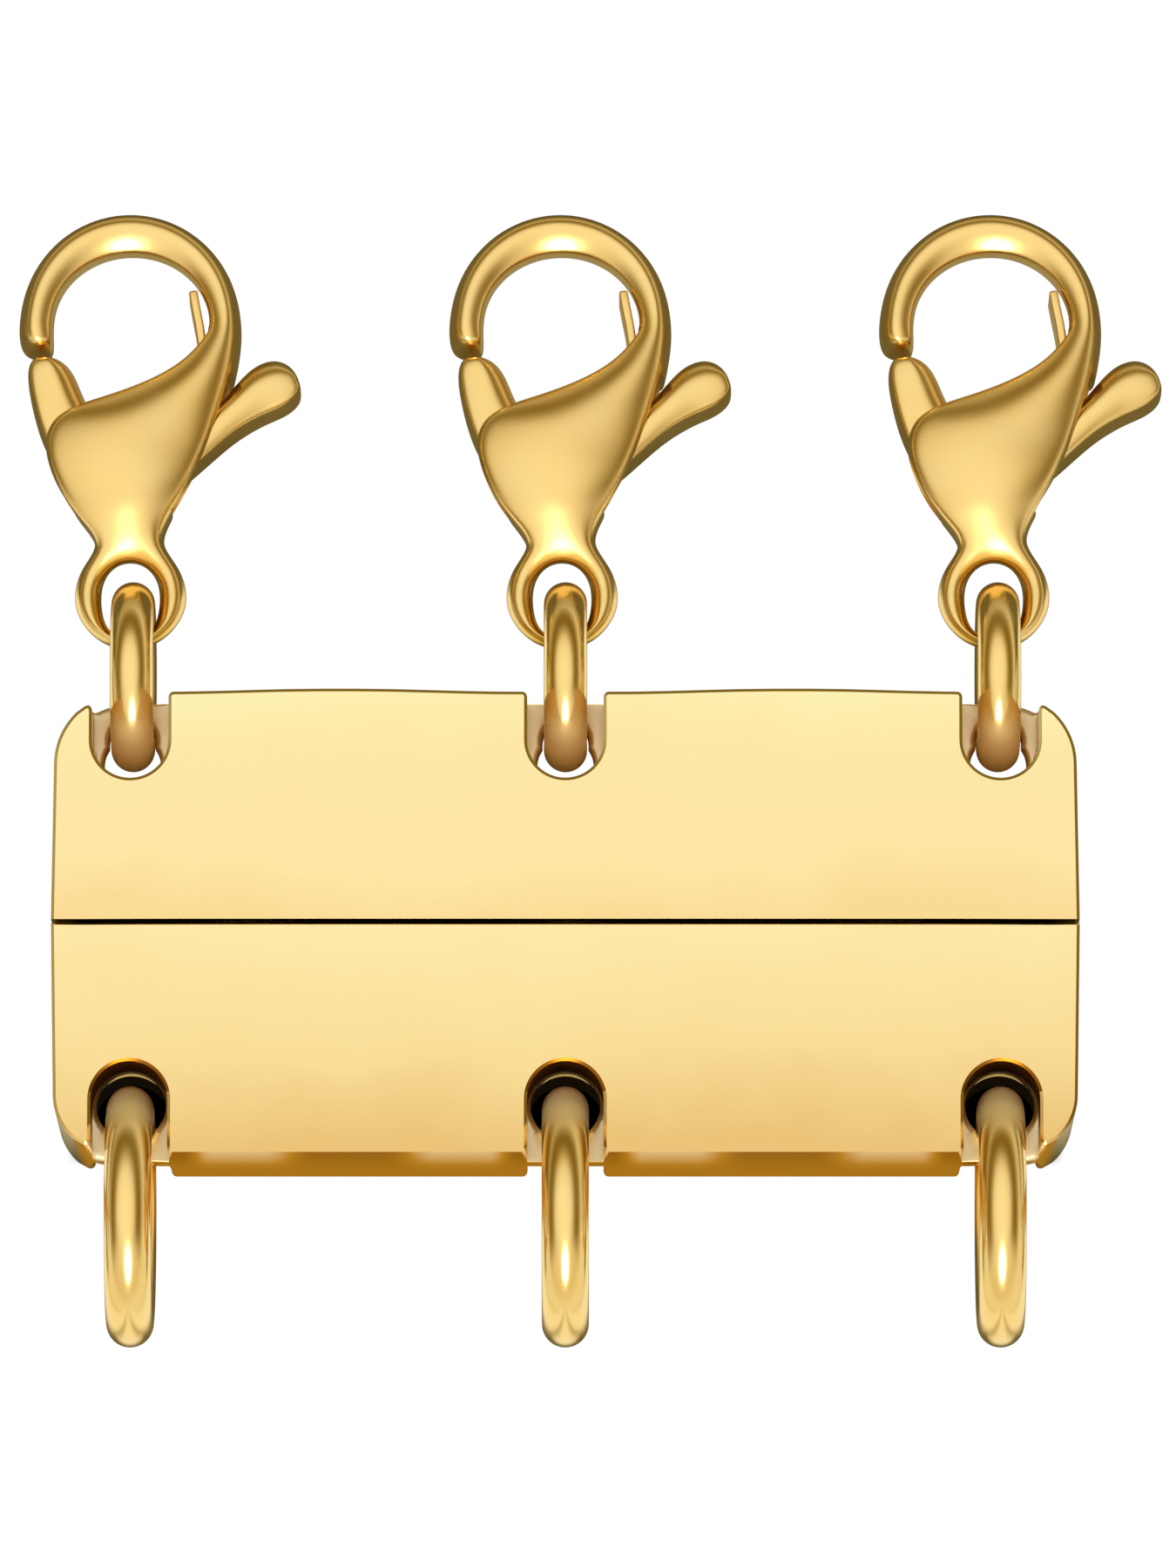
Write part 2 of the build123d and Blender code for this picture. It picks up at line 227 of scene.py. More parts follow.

# The polished gold sees the painted levels through two ramps. The camera sees only the white, with the
# painted shadow under the bar.
olive_stops = [(0, "#120E08"), (0.25, "#645B38"), (0.55, "#A69C7A"), (0.8, "#D9D2BC"), (1, "#FBF8F0")]
warm_stops = [(0, "#1A0F00"), (0.3, "#845608"), (0.6, "#C08F28"), (0.8, "#E4C48C"), (1, "#FFF8EC")]
mirrored = add_node(tree, "ShaderNodeMixShader", links={"Fac": levels["in front"]})
for socket, level, stops in ((1, "shown", olive_stops), (2, "front shown", warm_stops)):
    shade = add_node(tree, "ShaderNodeValToRGB", links={"Fac": levels[level]}, stops=stops)
    part = add_node(tree, "ShaderNodeEmission", links={"Color": shade.outputs["Color"]})
    tree.links.new(part.outputs["Emission"], mirrored.inputs[socket])
white = add_node(tree, "ShaderNodeEmission", None, {"Color": linear("#FFFFFF")},
                 {"Strength": levels["open table"]})
seen = add_node(tree, "ShaderNodeLightPath").outputs["Is Camera Ray"]
glow = add_node(tree, "ShaderNodeMixShader", links={"Fac": seen})
tree.links.new(mirrored.outputs["Shader"], glow.inputs[1])
tree.links.new(white.outputs["Emission"], glow.inputs[2])
add_node(tree, "ShaderNodeOutputMaterial", links={"Surface": glow.outputs["Shader"]})
table.data.materials.append(acrylic)

# The bar is two milled plates of stainless steel, gold plated and mirror polished, which meet at
# the seam. Each of the three notches in an outer edge holds a thin drilled web for a jump ring.
# The polished faces are very slightly crowned, as buffing leaves them.

strands = (-10, 0, 10)
bar_width = 23.6
half_height = 5.28
bar_thickness = 4.8
seam_gap = 0.1
end_taper = 0.08
notch_width = 1.76
web_thickness = 0.8
web_strip = 0.35
web_round = 0.15
outer_edge = seam_gap / 2 + half_height
hole_end_past = 0.03
seat_pitch = 7.5
seat_radius = 1.53
seat_depth = 1.86
face_crown = 0.06
crown_from_edge = 4.2
crown_from_end = 3.0
rim_flat = 0.07
rim_lift = 0.45
seam_flat = 0.04
edge_bow = 0.07
bow_reach = 3.6
tip_round = 0.24
mouth_round = 0.12
column_step = 0.8
row_count = 8
# Points this near to a face, or to an edge or an end, are taken as part of it
near_face, near_edge = 0.12, 0.2


def edit(piece):
    """Opens a piece, and it alone, in edit mode."""
    bpy.ops.object.select_all(action="DESELECT")
    bpy.context.view_layer.objects.active = piece
    piece.select_set(True)
    bpy.ops.object.mode_set(mode="EDIT")


def close():
    """Back to object mode."""
    bpy.ops.object.mode_set(mode="OBJECT")


def pick(piece, kind, test):
    """Selects the points, edges or faces that pass a test, and nothing else."""
    bpy.ops.mesh.select_mode(type={"verts": "VERT", "edges": "EDGE", "faces": "FACE"}[kind])
    bpy.ops.mesh.select_all(action="DESELECT")
    mesh = bmesh.from_edit_mesh(piece.data)
    mesh.normal_update()
    for part in [part for part in getattr(mesh, kind) if test(part)]:
        part.select_set(True)
    mesh.select_flush_mode()
    bmesh.update_edit_mesh(piece.data)


def middle(edge):
    """The middle of an edge."""
    return (edge.verts[0].co + edge.verts[1].co) / 2


def apply_modifier(piece, kind, **settings):
    """Adds a modifier to a piece and applies it."""
    bpy.ops.object.select_all(action="DESELECT")
    bpy.context.view_layer.objects.active = piece
    piece.select_set(True)
    modifier = piece.modifiers.new(kind.lower(), kind)
    for name, value in settings.items():
        setattr(modifier, name, value)
    bpy.ops.object.modifier_apply(modifier=modifier.name)


def cut_away(piece, cutter):
    """Takes one shape out of a piece."""
    apply_modifier(piece, "BOOLEAN", operation="DIFFERENCE", solver="EXACT", object=cutter)
    bpy.data.objects.remove(cutter)


def notch_cutter(x, depth, low, high):
    """A round-ended slot through the outer edge, between two heights."""
    radius = notch_width / 2
    bottom = outer_edge - depth + radius
    bpy.ops.object.select_all(action="DESELECT")
    bpy.ops.mesh.primitive_cylinder_add(vertices=64, radius=radius, depth=high - low,
                                        location=(x, bottom, (low + high) / 2))
    cutter = bpy.context.object
    bpy.ops.object.transform_apply(location=True, rotation=False, scale=False)
    edit(cutter)
    pick(cutter, "verts", lambda v: v.co.y > bottom + 0.001)
    bpy.ops.transform.resize(value=(1, 0, 1), center_override=(x, bottom, 0))
    bpy.ops.transform.translate(value=(0, 2 * depth, 0))
    bpy.ops.mesh.select_all(action="SELECT")
    bpy.ops.mesh.remove_doubles(threshold=0.0001)
    bpy.ops.mesh.normals_make_consistent(inside=False)
    close()
    return cutter


def web_hole_cutters(x, width, neck, depth):
    """The keyhole in a web: a round hole under the notch's end, and a slot for the ring's wire."""
    hole_y = outer_edge - depth - hole_end_past + width / 2
    neck_y = outer_edge - web_strip - neck / 2
    cutters = []
    for diameter, from_y in ((width, hole_y), (neck, neck_y)):
        bpy.ops.object.select_all(action="DESELECT")
        bpy.ops.mesh.primitive_cylinder_add(vertices=64, radius=diameter / 2, depth=web_thickness + 0.1,
                                            location=(x, from_y, 0))
        cutter = bpy.context.object
        bpy.ops.object.transform_apply(location=True, rotation=False, scale=False)
        edit(cutter)
        pick(cutter, "verts", lambda v: v.co.y < from_y - 0.001)
        bpy.ops.transform.translate(value=(0, min(0, hole_y - from_y), 0))
        close()
        cutters.append(cutter)
    return cutters


def seat_cutter(x):
    """The blind round seat of one magnet in the seam face."""
    bpy.ops.object.select_all(action="DESELECT")
    bpy.ops.mesh.primitive_cylinder_add(vertices=48, radius=seat_radius, depth=2 * seat_depth,
                                        location=(x, seam_gap / 2, 0), rotation=(pi / 2, 0, 0))
    cutter = bpy.context.object
    bpy.ops.object.transform_apply(location=True, rotation=True, scale=False)
    return cutter


def sag(piece, test, move, reach):
    """Moves the points that pass a test, and those within reach less and less."""
    pick(piece, "verts", test)
    bpy.ops.transform.translate(value=move, use_proportional_edit=True,
                                proportional_edit_falloff="SMOOTH", proportional_size=reach)


def bar_blank(name, corner_radius):
    """One half of the bar before it is cut: a plate that narrows a little, its outer corners rounded."""
    bpy.ops.object.select_all(action="DESELECT")
    centre = seam_gap / 2 + half_height / 2
    bpy.ops.mesh.primitive_cube_add(size=1, location=(0, centre, 0))
    half = bpy.context.object
    half.name = name
    half.scale = (bar_width, half_height, bar_thickness)
    bpy.ops.object.transform_apply(location=True, rotation=False, scale=True)
    edit(half)
    pick(half, "verts", lambda v: v.co.y > centre)
    bpy.ops.transform.resize(value=(1 - 2 * end_taper / bar_width, 1, 1), center_override=(0, centre, 0))
    pick(half, "edges", lambda e: middle(e).y > centre and abs(middle(e).z) < 0.1
         and abs(middle(e).x) > bar_width / 2 - 1)
    bpy.ops.mesh.bevel(offset=corner_radius, segments=20, affect="EDGES")
    close()
    return half


def mill(half, notch_depth, hole_width, hole_neck):
    """Cuts the notches from both faces down to their webs, the webs' holes and the magnets' seats."""
    for x in strands:
        cut_away(half, notch_cutter(x, notch_depth, web_thickness / 2, bar_thickness))
        cut_away(half, notch_cutter(x, notch_depth, -bar_thickness, -web_thickness / 2))
        for cutter in web_hole_cutters(x, hole_width, hole_neck, notch_depth):
            cut_away(half, cutter)
    for x in (-seat_pitch, 0, seat_pitch):
        cut_away(half, seat_cutter(x))
    edit(half)
    bpy.ops.mesh.select_all(action="SELECT")
    bpy.ops.mesh.remove_doubles(threshold=0.0005)
    close()


def round_mouths(half):
    """Clears the tips between the corners' arcs and the notches, and rounds them and the inner mouths."""
    tip = strands[-1] + notch_width / 2
    edit(half)

    def upright(e):
        return middle(e).y > outer_edge - 0.6 and abs(e.verts[0].co.z - e.verts[1].co.z) > 1.5
    pick(half, "edges", lambda e: upright(e) and tip + 0.01 < abs(middle(e).x) < tip + 0.34)
    bpy.ops.mesh.dissolve_edges(use_verts=True, use_face_split=False)
    pick(half, "edges", lambda e: upright(e) and abs(abs(middle(e).x) - tip) < 0.005)
    bpy.ops.mesh.bevel(offset=tip_round, segments=6, affect="EDGES")
    pick(half, "edges", lambda e: upright(e) and abs(middle(e).x) < tip - 0.1
         and min(abs(abs(middle(e).x - x) - notch_width / 2) for x in strands) < 0.005)
    bpy.ops.mesh.bevel(offset=mouth_round, segments=5, affect="EDGES")
    close()


def ease_rims(half, corner_radius, outer_flat):
    """A narrow low flat round the front and the back, but for the seam, and rounded webs.
    The flat also runs along the outer edge, or stops at the corners."""
    straight = bar_width / 2 - corner_radius
    edit(half)

    def has_flat(e):
        x, y = abs(middle(e).x), middle(e).y
        return y > seam_gap and (outer_flat or x > straight or y < outer_edge - 0.05)
    pick(half, "edges", lambda e: abs(abs(middle(e).z) - bar_thickness / 2) < 0.001
         and e.calc_face_angle(0) > 0.5 and has_flat(e))
    bpy.ops.mesh.bevel(offset=rim_flat, segments=1, affect="EDGES")
    flat_end = bar_thickness / 2 - rim_flat
    pick(half, "verts", lambda v: abs(abs(v.co.z) - flat_end) < 0.001)
    bpy.ops.transform.resize(value=(1, 1, (flat_end + rim_lift * rim_flat) / flat_end),
                             center_override=(0, 0, 0))
    pick(half, "edges", lambda e: abs(abs(middle(e).z) - web_thickness / 2) < 0.001
         and e.calc_face_angle(0) > 0.5 and e.is_convex)
    bpy.ops.mesh.bevel(offset=web_round, segments=4, affect="EDGES")
    close()


def crown(half):
    """Both faces fall away a little to the outer edge and the ends. Rows of cuts let them bend."""
    column_count = int(bar_width / 2 / column_step)
    columns = [i * column_step for i in range(-column_count, column_count + 1)]
    rows = [seam_gap / 2 + half_height * (i + 0.5) / row_count for i in range(row_count)]
    edit(half)
    for x in columns:
        bpy.ops.mesh.select_all(action="SELECT")
        bpy.ops.mesh.bisect(plane_co=(x, 0, 0), plane_no=(1, 0, 0))
    for y in rows:
        bpy.ops.mesh.select_all(action="SELECT")
        bpy.ops.mesh.bisect(plane_co=(0, y, 0), plane_no=(0, 1, 0))
    for side in (1, -1):
        def on_face(v):
            return side * v.co.z > bar_thickness / 2 - near_face
        sag(half, lambda v: on_face(v) and v.co.y > outer_edge - near_edge,
            (0, 0, -side * face_crown), crown_from_edge)
        for end in (1, -1):
            sag(half, lambda v: on_face(v) and end * v.co.x > bar_width / 2 - near_edge,
                (0, 0, -side * face_crown), crown_from_end)
    close()


def bar_half(name, corner_radius, notch_depth, hole_width, hole_neck, outer_flat):
    """One half of the bar, outer edge towards +Y, with or without a flat along that edge."""
    half = bar_blank(name, corner_radius)
    mill(half, notch_depth, hole_width, hole_neck)
    round_mouths(half)
    ease_rims(half, corner_radius, outer_flat)
    crown(half)
    return half


def to_metres(piece):
    """Brings a piece modelled in millimetres to the frame's metres, its place in its mesh."""
    bpy.ops.object.select_all(action="DESELECT")
    bpy.context.view_layer.objects.active = piece
    piece.select_set(True)
    piece.scale = (MM, MM, MM)
    bpy.ops.object.transform_apply(location=True, rotation=True, scale=True)


def smooth(piece, angle):
    """Smooth shading, with edges sharper than the angle kept hard."""
    bpy.ops.object.select_all(action="DESELECT")
    bpy.context.view_layer.objects.active = piece
    piece.select_set(True)
    bpy.ops.object.shade_smooth_by_angle(angle=radians(angle))


def plated(name, stops, roughness, haze, haze_size, line_size, line_depth, along=None):
    """Plated metal: its tint and haze drift over haze_size, and its buffing lines are line_size long,
    along the bar, 12 times narrower and line_depth deep, all in millimetres. Real ones are finer
    still, and are drawn as coarse as they need to show. The tint runs through its stops with the
    drift, or along Y between two places."""
    drift_share = 0.2
    buffing = (1, 12, 12)
    material = bpy.data.materials.new(name)
    material.use_nodes = True
    tree = material.node_tree
    tree.nodes.clear()
    place = add_node(tree, "ShaderNodeTexCoord")
    cloud = add_node(tree, "ShaderNodeTexNoise", None, {"Scale": 1 / (haze_size * MM), "Detail": 3},
                     {"Vector": place.outputs["Object"]})
    drift = add_node(tree, "ShaderNodeMapRange", None, {"From Min": 0.3, "From Max": 0.7},
                     {"Value": cloud.outputs["Fac"]})
    tone = drift.outputs["Result"]
    if along:
        axes = add_node(tree, "ShaderNodeSeparateXYZ", links={"Vector": place.outputs["Object"]})
        run = add_node(tree, "ShaderNodeMapRange", None,
                       {"From Min": along[0] * MM, "From Max": along[1] * MM,
                        "To Min": -drift_share / 2, "To Max": 1 - drift_share / 2},
                       {"Value": axes.outputs["Y"]})
        mixed = add_node(tree, "ShaderNodeMath", {"operation": "MULTIPLY_ADD"}, {1: drift_share},
                         {0: tone, 2: run.outputs["Result"]})
        tone = mixed.outputs["Value"]
    tint = add_node(tree, "ShaderNodeValToRGB", links={"Fac": tone}, stops=stops)
    rough = add_node(tree, "ShaderNodeMapRange", None, {"To Min": roughness, "To Max": roughness + haze},
                     {"Value": drift.outputs["Result"]})
    stretch = add_node(tree, "ShaderNodeMapping", None, {"Scale": buffing},
                       {"Vector": place.outputs["Object"]})
    lines = add_node(tree, "ShaderNodeTexNoise", None, {"Scale": 1 / (line_size * MM), "Detail": 2},
                     {"Vector": stretch.outputs["Vector"]})
    bump = add_node(tree, "ShaderNodeBump", None, {"Strength": 0.25, "Distance": line_depth * MM},
                    {"Height": lines.outputs["Fac"]})
    metal = add_node(tree, "ShaderNodeBsdfPrincipled", None, {"Metallic": 1},
                     {"Base Color": tint.outputs["Color"], "Roughness": rough.outputs["Result"],
                      "Normal": bump.outputs["Normal"]})
    add_node(tree, "ShaderNodeOutputMaterial", links={"Surface": metal.outputs["BSDF"]})
    return material


# Pale gold plate on buffed steel, near a mirror. Its tint carries painted shade: it deepens a little
# from the upper half's outer edge to the seam, and again from the seam to the lower half's outer edge.
# Nothing reaches into the notches to buff them, so their walls and webs stay satin and duller.
upper_gold = plated("gold electroplate, mirror polished, upper half",
                    [(0, "#FFF1B2"), (0.25, "#FFE9A8"), (0.75, "#FFE7A5"), (1, "#FBDC96")],
                    roughness=0.07, haze=0.03, haze_size=4.0, line_size=0.8, line_depth=0.0004,
                    along=(5.3, 0))
lower_gold = plated("gold electroplate, mirror polished, lower half",
                    [(0, "#FFEBAB"), (0.25, "#FDE5A2"), (0.6, "#FADD97"), (1, "#ECC47A")],
                    roughness=0.08, haze=0.03, haze_size=4.0, line_size=0.8, line_depth=0.0004,
                    along=(0, -5.3))
web_gold = plated("gold electroplate on milled steel, satin", [(0, "#E8CC9C"), (1, "#F1D8AA")],
                  roughness=0.34, haze=0.08, haze_size=0.6, line_size=0.1, line_depth=0.002)
wall_gold = plated("gold flash on milled steel, matte", [(0, "#F7E2BC"), (1, "#FDECCD")],
                   roughness=0.75, haze=0.1, haze_size=0.6, line_size=0.1, line_depth=0.002)
# In the lower notches the webs are painted paler, as painted light, and the walls a dark amber, as
# painted shade. Those walls are glossier, so they also mirror the dark hole.
painted_light_web_gold = plated("gold electroplate on fine-milled steel, satin", [(0, "#FBE8B6"), (1, "#FFF0C4")],
                       roughness=0.3, haze=0.08, haze_size=0.6, line_size=0.1, line_depth=0.001)
painted_shade_wall_gold = plated("gold flash on fine-milled steel, bright", [(0, "#925A12"), (1, "#A66A1C")],
                          roughness=0.28, haze=0.04, haze_size=0.6, line_size=0.1, line_depth=0.0006)

upper = bar_half("bar_upper_plate", corner_radius=1.65, notch_depth=2.0, hole_width=1.3, hole_neck=1.06,
                 outer_flat=True)
lower = bar_half("bar_lower_plate", corner_radius=1.3, notch_depth=2.1, hole_width=1.6, hole_neck=1.16,
                 outer_flat=False)
# The outer edge of the upper half bows out a little between its notches
edit(upper)
for x in (-half_pitch, half_pitch):
    sag(upper, lambda v: abs(v.co.x - x) < 0.6 and v.co.y > outer_edge - near_edge,
        (0, edge_bow, 0), bow_reach)
close()
# The lower half has a fine flat at the seam too, and is turned over to its own side
edit(lower)
pick(lower, "edges", lambda e: abs(middle(e).z) > bar_thickness / 2 - near_edge
     and middle(e).y < seam_gap and e.calc_face_angle(0) > 0.5)
bpy.ops.mesh.bevel(offset=seam_flat, segments=1, affect="EDGES")
bpy.ops.mesh.select_all(action="SELECT")
bpy.ops.transform.resize(value=(1, -1, 1), center_override=(0, 0, 0))
bpy.ops.mesh.flip_normals()
close()
# Each half has three finishes by face: polished, the webs' and the notch walls'. In the lower half
# the flats round the notches take the walls' dark amber painted shade too.
web_top = web_thickness / 2 + 0.01
wall_top = 2.2
notch_reach = 2.3
for piece, golds, node, body in (
        (upper, (upper_gold, web_gold, wall_gold), "upper_bar", "upper_half"),
        (lower, (lower_gold, painted_light_web_gold, painted_shade_wall_gold), "lower_bar", "lower_half")):
    smooth(piece, 25)
    piece.data.materials.clear()
    for gold in golds:
        piece.data.materials.append(gold)
    for face in piece.data.polygons:
        x, y, z = face.center
        beside = min(abs(x - strand) for strand in strands)
        in_notch = (beside < notch_width / 2 + 0.02
                    and outer_edge - notch_reach < abs(y) < outer_edge - 0.02)
        on_flat = piece == lower and z > wall_top and face.normal.z < 0.95
        if in_notch and (-web_thickness / 2 < z < wall_top or on_flat):
            face.material_index = 1 if z < web_top else 2
    to_metres(piece)
    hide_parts(node)
    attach(piece, body)

# The magnets are sintered neodymium discs, nickel plated, glued in round seats in the seam faces.
# Nickel is a bright, slightly warm grey, with the faint grain of the pressed powder under it.

nickel = plated("nickel plate on sintered neodymium", [(0, "#C9C4BA"), (1, "#D6D1C7")],
                roughness=0.2, haze=0.08, haze_size=0.5, line_size=0.12, line_depth=0.001)


def finish_node(node, material):
    """Gives a CAD node that stays its material."""
    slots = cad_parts[node].data.materials
    slots.clear()
    slots.append(material)


for number in range(1, 4):
    finish_node(f"upper_magnet_{number}", nickel)
    finish_node(f"lower_magnet_{number}", nickel)

# The jump rings are hard gold-plated steel wire, bent round and closed end to end.
# They hang on the webs and stand on edge in the notches. The cut faces down inside the notch,
# 0.02 mm open, as pliers leave it.

ring_lift = 0.02
ring_cut = 0.02


def jump_ring(name, diameter, wire, x, y, cut_angle):
    """A wire ring on edge, clear of the table by its lift, its cut at an angle round from the top."""
    radius = (diameter - wire) / 2
    gap = ring_cut / radius
    centre = (x, y, table_height + ring_lift + diameter / 2)
    bpy.ops.object.select_all(action="DESELECT")
    bpy.ops.mesh.primitive_circle_add(vertices=32, radius=wire / 2, fill_type="NGON",
                                      location=(centre[0], centre[1], centre[2] + radius))
    ring = bpy.context.object
    ring.name = name
    bpy.ops.object.transform_apply(location=True, rotation=False, scale=False)
    edit(ring)
    bpy.ops.mesh.select_all(action="SELECT")
    bpy.ops.transform.rotate(value=radians(90), orient_axis="Y",
                             center_override=(centre[0], centre[1], centre[2] + radius))
    bpy.ops.transform.rotate(value=radians(90), orient_axis="Z",
                             center_override=(centre[0], centre[1], centre[2] + radius))
    bpy.ops.transform.rotate(value=cut_angle, orient_axis="X", center_override=centre)
    bpy.ops.mesh.spin(steps=120, angle=2 * pi - gap, center=centre, axis=(1, 0, 0))
    pick(ring, "edges", lambda e: e.is_boundary)
    bpy.ops.mesh.edge_face_add()
    bpy.ops.mesh.select_all(action="SELECT")
    bpy.ops.mesh.normals_make_consistent(inside=False)
    close()
    return ring


# Barrel-polished wire is bright but a little softer than the buffed bar.
# Inside the notch, near its cut, each ring is satin, with painted light: paler and less metallic.
ring_gold = plated("gold electroplate on drawn wire, polished", [(0, "#FFDB88"), (1, "#FFE093")],
                   roughness=0.17, haze=0.05, haze_size=1.2, line_size=0.5, line_depth=0.0004)
satin_and_painted_light_from, satin_and_painted_light_to = 5.2, 4.2
tree = ring_gold.node_tree
metal = tree.nodes["Principled BSDF"]
polish = metal.inputs["Roughness"].links[0].from_socket
tint = metal.inputs["Base Color"].links[0].from_socket
place = add_node(tree, "ShaderNodeTexCoord")
axes = add_node(tree, "ShaderNodeSeparateXYZ", links={"Vector": place.outputs["Object"]})
off_seam = add_node(tree, "ShaderNodeMath", {"operation": "ABSOLUTE"}, None, {0: axes.outputs["Y"]})
painted_light_in_notch = []
for on_ring, deep_in_notch in ((0, 1), (0.1, 0.5), (1, 0.2)):
    change = add_node(tree, "ShaderNodeMapRange", {"interpolation_type": "SMOOTHSTEP"},
                      {"From Min": satin_and_painted_light_from * MM, "From Max": satin_and_painted_light_to * MM,
                       "To Min": on_ring, "To Max": deep_in_notch}, {"Value": off_seam.outputs["Value"]})
    painted_light_in_notch.append(change.outputs["Result"])
pale, satin, metallic = painted_light_in_notch
# Painted light: inside the notch the tint pales and the metal turns less metallic
paler = add_node(tree, "ShaderNodeMix", {"data_type": "RGBA"}, {7: linear("#FFE6A4")}, {0: pale, 6: tint})
rougher = add_node(tree, "ShaderNodeMath", {"operation": "MAXIMUM"}, None, {0: polish, 1: satin})
tree.links.new(paler.outputs[2], metal.inputs["Base Color"])
tree.links.new(rougher.outputs["Value"], metal.inputs["Roughness"])
tree.links.new(metallic, metal.inputs["Metallic"])

# Kind, body, outer diameter, wire, middle's Y, and the cut's angle round from the top
ring_kinds = [("small", "upper_half", 4.4, 1.0, 6.0439, 100),
              ("large", "lower_half", 6.0, 1.08, -6.6253, -100)]
for number, x in enumerate(strands, start=1):
    for kind, body, diameter, wire, y, cut_angle in ring_kinds:
        ring = jump_ring(f"jump_ring_{kind}_{number}", diameter, wire, x, y, radians(cut_angle))
        smooth(ring, 40)
        to_metres(ring)
        ring.data.materials.append(ring_gold)
        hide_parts(f"{kind}_ring_{number}")
        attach(ring, body)

# The lobster claw's body is one hollow casting of stainless steel, gold plated: a flat eye, a neck,
# two cheeks and the hook. The casting is tumbled with polishing media, which leaves it soft and
# bright. Its eye hangs on the small ring, and it lies on its belly.

claw_eye_y = 7.7428
claw_eye_z = -0.5033
claw_tilt = radians(5.853)
claw_stretch = (1.02, 1.05, 1)
claw_sideways = -0.08
eye_hole_radius = 0.65
eye_outer_radius = 1.28
eye_half_thickness = 0.5
slot_half_thickness = 0.81


def sweep(name, stations):
    """A bar drawn through stations: left point, right point, half thickness at its edges and its crown."""
    bpy.ops.object.select_all(action="DESELECT")
    bpy.ops.mesh.primitive_circle_add(vertices=6, radius=1, fill_type="NGON")
    bar = bpy.context.object
    bar.name = name
    edit(bar)
    bpy.ops.mesh.select_all(action="SELECT")
    bpy.ops.transform.resize(value=(1 / cos(radians(30)), 2, 1), center_override=(0, 0, 0))
    bpy.ops.transform.rotate(value=radians(-90), orient_axis="X", center_override=(0, 0, 0))
    last = None
    for left, right, edge, crown in stations:
        now = ((left[0] + right[0]) / 2, (left[1] + right[1]) / 2,
               atan2(right[1] - left[1], right[0] - left[0]),
               hypot(right[0] - left[0], right[1] - left[1]) / 2, edge, edge + crown)
        if last:
            bpy.ops.mesh.extrude_region_move()
        else:
            last = (0, 0, 0, 1, 1, 2)
        at = (last[0], last[1], 0)
        bpy.ops.transform.rotate(value=last[2], orient_axis="Z", center_override=at)
        bpy.ops.transform.resize(value=(now[3] / last[3], 1, now[4] / last[4]), center_override=at)
        mesh = bmesh.from_edit_mesh(bar.data)
        ridge = sorted((v for v in mesh.verts if v.select), key=lambda v: abs(v.co.x - at[0]))[:2]
        for v in ridge:
            v.co.z = now[5] if v.co.z > 0 else -now[5]
        bmesh.update_edit_mesh(bar.data)
        bpy.ops.transform.rotate(value=-now[2], orient_axis="Z", center_override=at)
        bpy.ops.transform.translate(value=(now[0] - at[0], now[1] - at[1], 0))
        last = now
    bpy.ops.mesh.select_all(action="SELECT")
    bpy.ops.mesh.normals_make_consistent(inside=False)
    close()
    return bar


def round_point(centre, radius, angle, squash=1.0):
    """A point on a circle."""
    return (centre[0] + radius * cos(radians(angle)), centre[1] + radius * squash * sin(radians(angle)))


def break_rims(bar, stations, left_width, right_width):
    """Bevels the long rims of a swept bar, the left and the right ones by widths of their own."""
    places = {}
    for left, right, edge, crown in stations:
        places[round(left[0], 3), round(left[1], 3)] = "left"
        places[round(right[0], 3), round(right[1], 3)] = "right"
    edit(bar)
    for side, width in (("right", right_width), ("left", left_width)):
        pick(bar, "edges", lambda e: e.verts[0].co.z * e.verts[1].co.z > 0
             and all(places.get((round(v.co.x, 3), round(v.co.y, 3))) == side for v in e.verts))
        bpy.ops.mesh.bevel(offset=width, segments=1, affect="EDGES")
    close()


hook_step = 18
hook_inner_centre = (-0.01, 6.29)
hook_inner_radius = 1.795
hook_inner_squash = 0.9
hook_outer_centre = (-0.045, 6.37)
hook_outer_radius = 2.565
inner_rim, outer_rim = 0.12, 0.24
eye_rise = 0.19
eye_draft = 0.2
eye_hole_longer = 0.27
# The middle of the eye's wall is this far out
eye_mid_wall = 1
# Bands of the eye's front, from its hole outwards, and how far each rises to the neck
eye_bands = [(0, 0.75, 0.27), (0.75, eye_mid_wall, 0.12), (eye_mid_wall, 2, 0.31)]
# Subdivision draws the eye's section and its round in by these shares
section_shrink, round_shrink = 0.9, 0.955
hook_draft = 0.3
# Points this far from the middle plane belong to the front or the back
off_middle = 0.3
# Bands of the back cheek, top first, and how far each is drawn up
back_bands = [(3.7, 4.35, 0.25), (2.5, 3.7, 0.48), (1.95, 2.5, 0.4), (1.6, 1.95, 0.25)]
# Stations: left point, right point, half thickness at the edges, and how far the middle crowns
hook_stations = [(round_point((-0.02, 6.3), 1.9, 196), round_point((-0.04, 6.38), 2.4, 195), 0.62, 0.03),
                 (round_point((-0.01, 6.3), 1.8, 192), round_point((-0.045, 6.38), 2.56, 191), 0.8, 0.16)]
for angle in range(180, -1, -hook_step):
    hook_stations.append((round_point(hook_inner_centre, hook_inner_radius, angle, hook_inner_squash),
                          round_point(hook_outer_centre, hook_outer_radius, angle), 0.8, 0.2))
body_stations = [((1.58, 5.95), (2.48, 5.8), 0.85, 0.22), ((1.15, 5.44), (2.36, 5.15), 0.9, 0.3),
                 ((0.4, 5.0), (2.17, 4.55), 0.95, 0.38), ((-0.5, 4.66), (1.99, 3.98), 1.0, 0.45),
                 ((-1.3, 4.42), (1.86, 3.6), 1.03, 0.5), ((-1.84, 4.1), (1.76, 3.34), 1.05, 0.53),
                 ((-2.0, 3.55), (1.65, 3.08), 1.06, 0.55), ((-1.92, 3.0), (1.52, 2.8), 1.06, 0.55),
                 ((-1.6, 2.28), (1.21, 2.25), 1.02, 0.47), ((-1.1, 1.72), (0.86, 1.75), 0.92, 0.2)]


